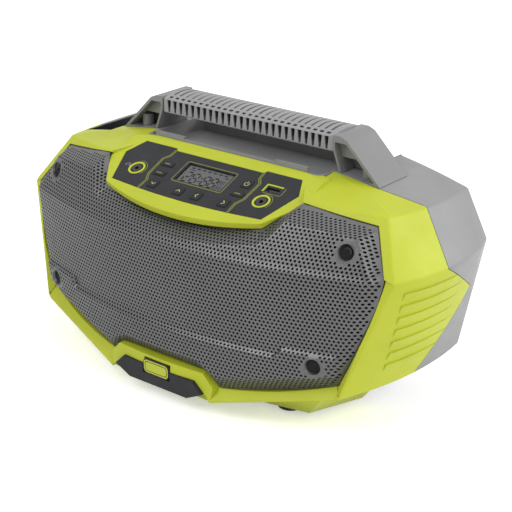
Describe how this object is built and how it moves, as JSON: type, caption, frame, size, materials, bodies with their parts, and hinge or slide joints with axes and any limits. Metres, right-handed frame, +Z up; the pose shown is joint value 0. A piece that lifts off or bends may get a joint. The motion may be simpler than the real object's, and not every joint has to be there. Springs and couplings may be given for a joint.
{
  "type": "jobsite radio",
  "caption": "Wide jobsite stereo radio with a barrel-shaped two-part shell, formed speaker grille, sloping control panel, carry handle, device tray and pull-up aerial.",
  "frame": {"origin": "on the floor under the middle of the radio's outline", "axes": "+X along the front towards the right end as seen from the front, +Y to the back, +Z up"},
  "size_m": [0.41, 0.1918, 0.2165],
  "materials": {
    "lime_shell": "satin",
    "grey_shell": "satin",
    "grey_handle": "satin",
    "grip_rubber": "matte",
    "grille_steel": "satin",
    "black_screw": "satin",
    "steel_screw": "zinc plated",
    "charcoal": "fine grain",
    "lime_trim": "satin",
    "lens": "clear",
    "lcd": "polariser",
    "key_rubber": "matte",
    "silicone": "matte",
    "circuit_board": "solder mask",
    "black_plastic": "satin",
    "port_steel": "plated",
    "baffle_plastic": "matte",
    "basket_steel": "satin",
    "magnet": "matte",
    "foam_rubber": "matte",
    "paper_cone": "pulp",
    "aluminium": "extruded",
    "transformer_steel": "lacquered",
    "ferrite": "sintered",
    "contact_brass": "plated",
    "aerial_chrome": "bright",
    "foot_rubber": "matte"
  },
  "bodies": {
    "radio": {"aerial_sleeve": "aerial_chrome", "audio_in_jack": "black_plastic", "audio_in_ring": "lime_trim", "case_screws": "steel_screw", "contact_blades": "contact_brass", "control_board": "circuit_board", "control_fascia": "charcoal", "device_tray": "grey_handle", "display_lens": "lens", "display_module": "lcd", "driver_screws": "black_screw", "ferrite_rod": "ferrite", "foot_front_left": "foot_rubber", "foot_front_right": "foot_rubber", "foot_rear_left": "foot_rubber", "foot_rear_right": "foot_rubber", "front_bezel": "lime_shell", "grille": "grille_steel", "grille_screws": "black_screw", "grip_sleeve": "grip_rubber", "handle": "grey_handle", "handle_screws": "steel_screw", "headphone_jack": "black_plastic", "headphone_ring": "lime_trim", "heat_sink": "aluminium", "inlet_pins": "port_steel", "key_mat": "silicone", "left_basket": "basket_steel", "left_cone": "paper_cone", "left_gasket": "foam_rubber", "left_magnet": "magnet", "left_surround": "foam_rubber", "main_board": "circuit_board", "mains_inlet": "black_plastic", "power_board": "circuit_board", "rear_housing": "grey_shell", "right_basket": "basket_steel", "right_cone": "paper_cone", "right_gasket": "foam_rubber", "right_magnet": "magnet", "right_surround": "foam_rubber", "shoulder_liner": "black_plastic", "speaker_baffle": "baffle_plastic", "terminal_block": "black_plastic", "transformer": "transformer_steel", "trim_pad": "charcoal", "trim_plate": "charcoal", "usb_port": "port_steel"},
    "key_clock": {"key_clock": "key_rubber"},
    "key_mode": {"key_mode": "key_rubber"},
    "key_power": {"key_power": "key_rubber"},
    "key_preset": {"key_preset": "key_rubber"},
    "key_tune_down": {"key_tune_down": "key_rubber"},
    "key_tune_up": {"key_tune_up": "key_rubber"},
    "key_volume_down": {"key_volume_down": "key_rubber"},
    "key_volume_up": {"key_volume_up": "key_rubber"},
    "aerial_lower": {"aerial_lower": "aerial_chrome"},
    "aerial_middle": {"aerial_middle": "aerial_chrome"},
    "aerial_upper": {"aerial_upper": "aerial_chrome"}
  },
  "joints": [
    {"name": "key_clock_press", "type": "slide", "parent": "radio", "child": "key_clock", "axis": [0, 0.3867, -0.9222], "range_m": [0, 0.0008], "stiffness_N_per_m": 600},
    {"name": "key_mode_press", "type": "slide", "parent": "radio", "child": "key_mode", "axis": [0, 0.3867, -0.9222], "range_m": [0, 0.0008], "stiffness_N_per_m": 600},
    {"name": "key_power_press", "type": "slide", "parent": "radio", "child": "key_power", "axis": [0, 0.3867, -0.9222], "range_m": [0, 0.0008], "stiffness_N_per_m": 600},
    {"name": "key_preset_press", "type": "slide", "parent": "radio", "child": "key_preset", "axis": [0, 0.3867, -0.9222], "range_m": [0, 0.0008], "stiffness_N_per_m": 600},
    {"name": "key_tune_down_press", "type": "slide", "parent": "radio", "child": "key_tune_down", "axis": [0, 0.3867, -0.9222], "range_m": [0, 0.0008], "stiffness_N_per_m": 600},
    {"name": "key_tune_up_press", "type": "slide", "parent": "radio", "child": "key_tune_up", "axis": [0, 0.3867, -0.9222], "range_m": [0, 0.0008], "stiffness_N_per_m": 600},
    {"name": "key_volume_down_press", "type": "slide", "parent": "radio", "child": "key_volume_down", "axis": [0, 0.3867, -0.9222], "range_m": [0, 0.0008], "stiffness_N_per_m": 600},
    {"name": "key_volume_up_press", "type": "slide", "parent": "radio", "child": "key_volume_up", "axis": [0, 0.3867, -0.9222], "range_m": [0, 0.0008], "stiffness_N_per_m": 600},
    {"name": "aerial_lower_slide", "type": "slide", "parent": "radio", "child": "aerial_lower", "axis": [0, 0, 1], "range_m": [0, 0.098]},
    {"name": "aerial_middle_slide", "type": "slide", "parent": "aerial_lower", "child": "aerial_middle", "axis": [0, 0, 1], "range_m": [0, 0.098]},
    {"name": "aerial_upper_slide", "type": "slide", "parent": "aerial_middle", "child": "aerial_upper", "axis": [0, 0, 1], "range_m": [0, 0.098]}
  ]
}
